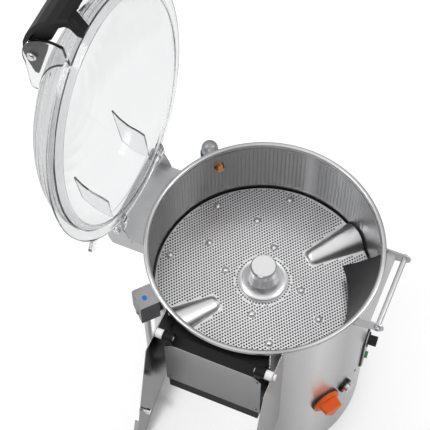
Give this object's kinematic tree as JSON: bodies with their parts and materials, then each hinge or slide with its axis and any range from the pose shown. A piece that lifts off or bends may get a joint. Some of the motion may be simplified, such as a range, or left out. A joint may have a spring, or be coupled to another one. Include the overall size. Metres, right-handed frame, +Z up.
{
  "type": "electric potato peeler",
  "caption": "Stainless drum peeler with a spinning rasp disc, clear hinged lid with a latch handle, discharge door over a chute, and side controls.",
  "frame": {"origin": "on the floor under the drum's centre", "axes": "+Z up, +X towards the lid's latch bar, -X towards the lid's hinge, -Y towards the discharge chute"},
  "size_m": [0.7107, 0.7111, 1.252],
  "materials": {
    "stainless": "fine brushed",
    "rasp_steel": "pressed and polished",
    "polished_steel": "polished",
    "zinc_steel": "zinc plated",
    "cast_iron": "painted casting",
    "cast_alloy": "as cast",
    "brass": "turned",
    "clear_plastic": "clear polycarbonate",
    "pale_plastic": "moulded",
    "white_plastic": "turned nylon",
    "black_plastic": "moulded, satin",
    "grey_plastic": "cast, smooth",
    "black_rubber": "moulded",
    "blue_plastic": "moulded",
    "motor_paint": "enamel",
    "orange_plastic": "moulded",
    "green_plastic": "moulded"
  },
  "bodies": {
    "housing": {"body_shell": "stainless", "drum_floor": "stainless", "wall_liner": "rasp_steel", "baffle": "grey_plastic", "spray_nozzle": "brass", "inlet_elbow": "cast_alloy", "inlet_collar": "blue_plastic", "hinge_bracket": "stainless", "hinge_pins": "polished_steel", "latch_bracket": "stainless", "latch_bar": "polished_steel", "latch_screws": "zinc_steel", "chute_cheeks": "stainless", "chute_floor": "stainless", "chute_studs": "polished_steel", "door_bushes": "white_plastic", "sensor_box": "stainless", "sensor_cover": "stainless", "sensor_gasket": "black_rubber", "sensor_lens": "blue_plastic", "conduit_tube": "stainless", "switch_gasket": "black_rubber", "contact_blocks": "black_plastic", "stop_collar": "black_plastic", "panel_plate": "stainless", "panel_gasket": "black_rubber", "control_unit": "pale_plastic", "base_plate": "stainless", "feet": "black_rubber", "foot_studs": "zinc_steel", "bearing_housing": "cast_iron", "shaft_bearings": "polished_steel", "shaft_seal": "black_rubber", "motor_deck": "zinc_steel", "motor_body": "motor_paint", "drive_bolts": "zinc_steel", "run_capacitor": "pale_plastic", "drain_spout": "stainless", "cable_gland": "black_plastic", "drive_belt": "black_rubber"},
    "rotor": {"rasp_disc": "rasp_steel", "disc_rivets": "polished_steel", "hub_cone": "polished_steel", "sweep_vanes": "rasp_steel", "main_shaft": "polished_steel", "driven_pulley": "cast_alloy"},
    "motor_rotor": {"motor_shaft": "polished_steel", "motor_pulley": "cast_alloy"},
    "lid": {"lid_dome": "clear_plastic", "lid_fins": "clear_plastic", "lid_magnet": "pale_plastic", "handle_screws": "polished_steel"},
    "handle": {"latch_handle": "black_plastic"},
    "door": {"door_block": "black_plastic", "door_plate": "stainless", "door_pins": "polished_steel"},
    "selector": {"selector_knob": "orange_plastic"},
    "timer": {"timer_knob": "black_plastic"},
    "start": {"start_button": "green_plastic"},
    "stop": {"stop_button": "polished_steel"}
  },
  "joints": [
    {"name": "disc_spin", "type": "hinge", "parent": "housing", "child": "rotor", "pos_m": [0, 0, 0.449], "axis": [0, 0, 1], "continuous": true},
    {"name": "motor_spin", "type": "hinge", "parent": "housing", "child": "motor_rotor", "pos_m": [0.0725, 0.12557, 0.253], "axis": [0, 0, 1], "continuous": true},
    {"name": "lid_hinge", "type": "hinge", "parent": "housing", "child": "lid", "pos_m": [-0.28, 0, 0.635], "axis": [0, 1, 0], "range_deg": [0, 98.3]},
    {"name": "latch_pivot", "type": "hinge", "parent": "lid", "child": "handle", "pos_m": [-0.40549, 0, 1.12805], "axis": [0, 1, 0], "range_deg": [0, 12]},
    {"name": "door_swing", "type": "hinge", "parent": "housing", "child": "door", "pos_m": [0, -0.262, 0.605], "axis": [-1, 0, 0], "range_deg": [0, 75]},
    {"name": "selector_turn", "type": "hinge", "parent": "housing", "child": "selector", "pos_m": [0.20547, -0.13344, 0.273], "axis": [0.8387, -0.5446, 0], "range_deg": [-90, 0]},
    {"name": "timer_turn", "type": "hinge", "parent": "housing", "child": "timer", "pos_m": [0.24939, 0.01744, 0.323], "axis": [0.9976, 0.0698, 0], "range_deg": [-300, 0]},
    {"name": "start_press", "type": "slide", "parent": "housing", "child": "start", "axis": [-0.9976, -0.0698, 0], "range_m": [0, 0.004], "stiffness_N_per_m": 600, "springref_m": -0.003},
    {"name": "stop_press", "type": "slide", "parent": "housing", "child": "stop", "axis": [-0.9455, 0.3256, 0], "range_m": [0, 0.003], "stiffness_N_per_m": 600, "springref_m": -0.003}
  ],
  "couplings": [
    {"joint": "motor_spin", "follows": "disc_spin", "ratio": 3.5714}
  ]
}
